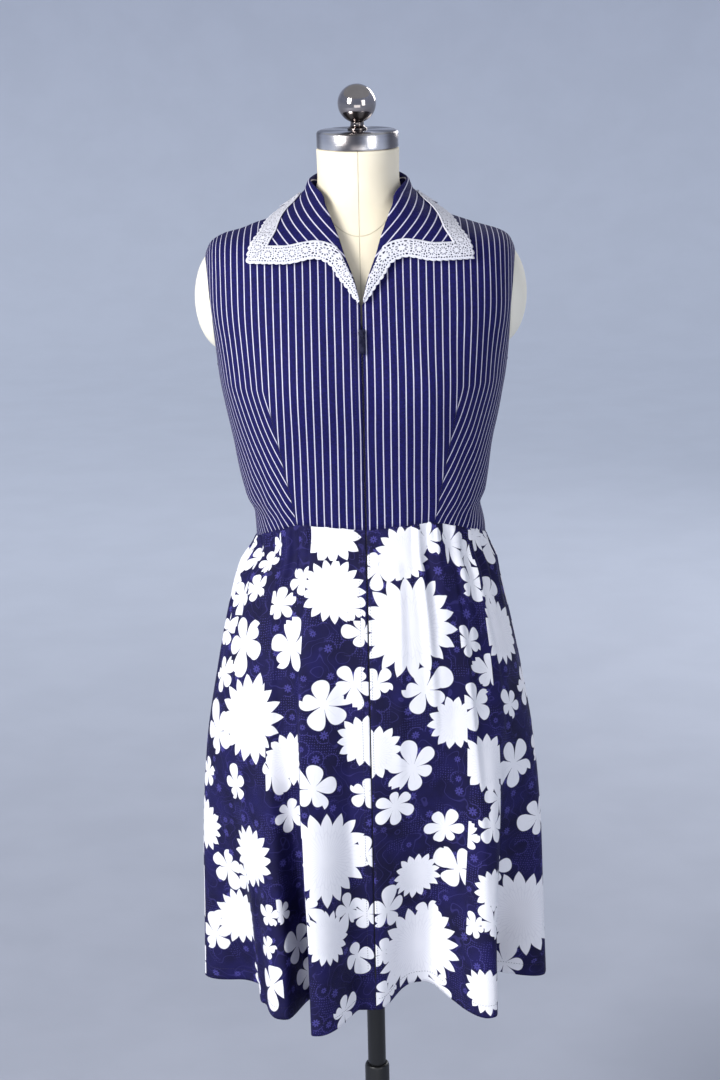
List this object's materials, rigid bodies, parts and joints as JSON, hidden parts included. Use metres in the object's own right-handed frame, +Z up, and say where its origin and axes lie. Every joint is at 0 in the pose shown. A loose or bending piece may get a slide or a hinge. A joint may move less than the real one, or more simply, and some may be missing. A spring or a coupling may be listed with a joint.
{
  "type": "sleeveless zip-front day dress on a dress form",
  "caption": "Sleeveless day dress with pinstripe bodice, lace-edged pointed collar, front zip and gathered floral skirt, worn by a limbless dress form on a telescoping pole stand.",
  "frame": {"origin": "centre of the base's underside, on the pole's axis", "axes": "+Z up along the pole, the dress's front faces -Y, +X towards the wearer's left"},
  "size_m": [0.4162, 0.38, 1.5563],
  "materials": {
    "pinstripe_cloth": "navy woven cotton blend with thin white pinstripes",
    "floral_cloth": "navy woven print with large white flowers, soft sheen",
    "lace": "white cotton edging lace",
    "zip_tape": "navy woven tape",
    "zip_coil": "navy moulded coil",
    "zip_metal": "dull nickel",
    "form_cover": "ivory jersey cover",
    "steel_cap": "polished steel",
    "chrome_ball": "polished",
    "black_paint": "satin black paint",
    "black_knob": "moulded black plastic"
  },
  "bodies": {
    "stand": {"base": "black_paint", "lower_sleeve": "black_paint", "lock_screw": "black_knob"},
    "mast": {"mast": "black_paint"},
    "dressed_form": {"form_torso": "form_cover", "neck_cap": "steel_cap", "finial": "chrome_ball", "form_socket": "black_paint", "bodice_front_right": "pinstripe_cloth", "bodice_front_left": "pinstripe_cloth", "bodice_back": "pinstripe_cloth", "skirt_front_right": "floral_cloth", "skirt_front_left": "floral_cloth", "skirt_back": "floral_cloth", "collar": "pinstripe_cloth", "collar_lace": "lace", "zip_tape_right": "zip_tape", "zip_tape_left": "zip_tape", "zip_coil": "zip_coil", "zip_slider": "zip_metal"},
    "pull_tab": {"zip_pull": "zip_metal"}
  },
  "joints": [
    {"name": "height_slide", "type": "slide", "parent": "stand", "child": "mast", "axis": [0, 0, 1], "range_m": [-0.12, 0.12]},
    {"name": "form_swivel", "type": "hinge", "parent": "mast", "child": "dressed_form", "pos_m": [0, 0, 0.77], "axis": [0, 0, 1], "continuous": true},
    {"name": "pull_tab_hinge", "type": "hinge", "parent": "dressed_form", "child": "pull_tab", "pos_m": [0, -0.11974, 1.29826], "axis": [-1, 0, 0], "range_deg": [0, 155]}
  ]
}
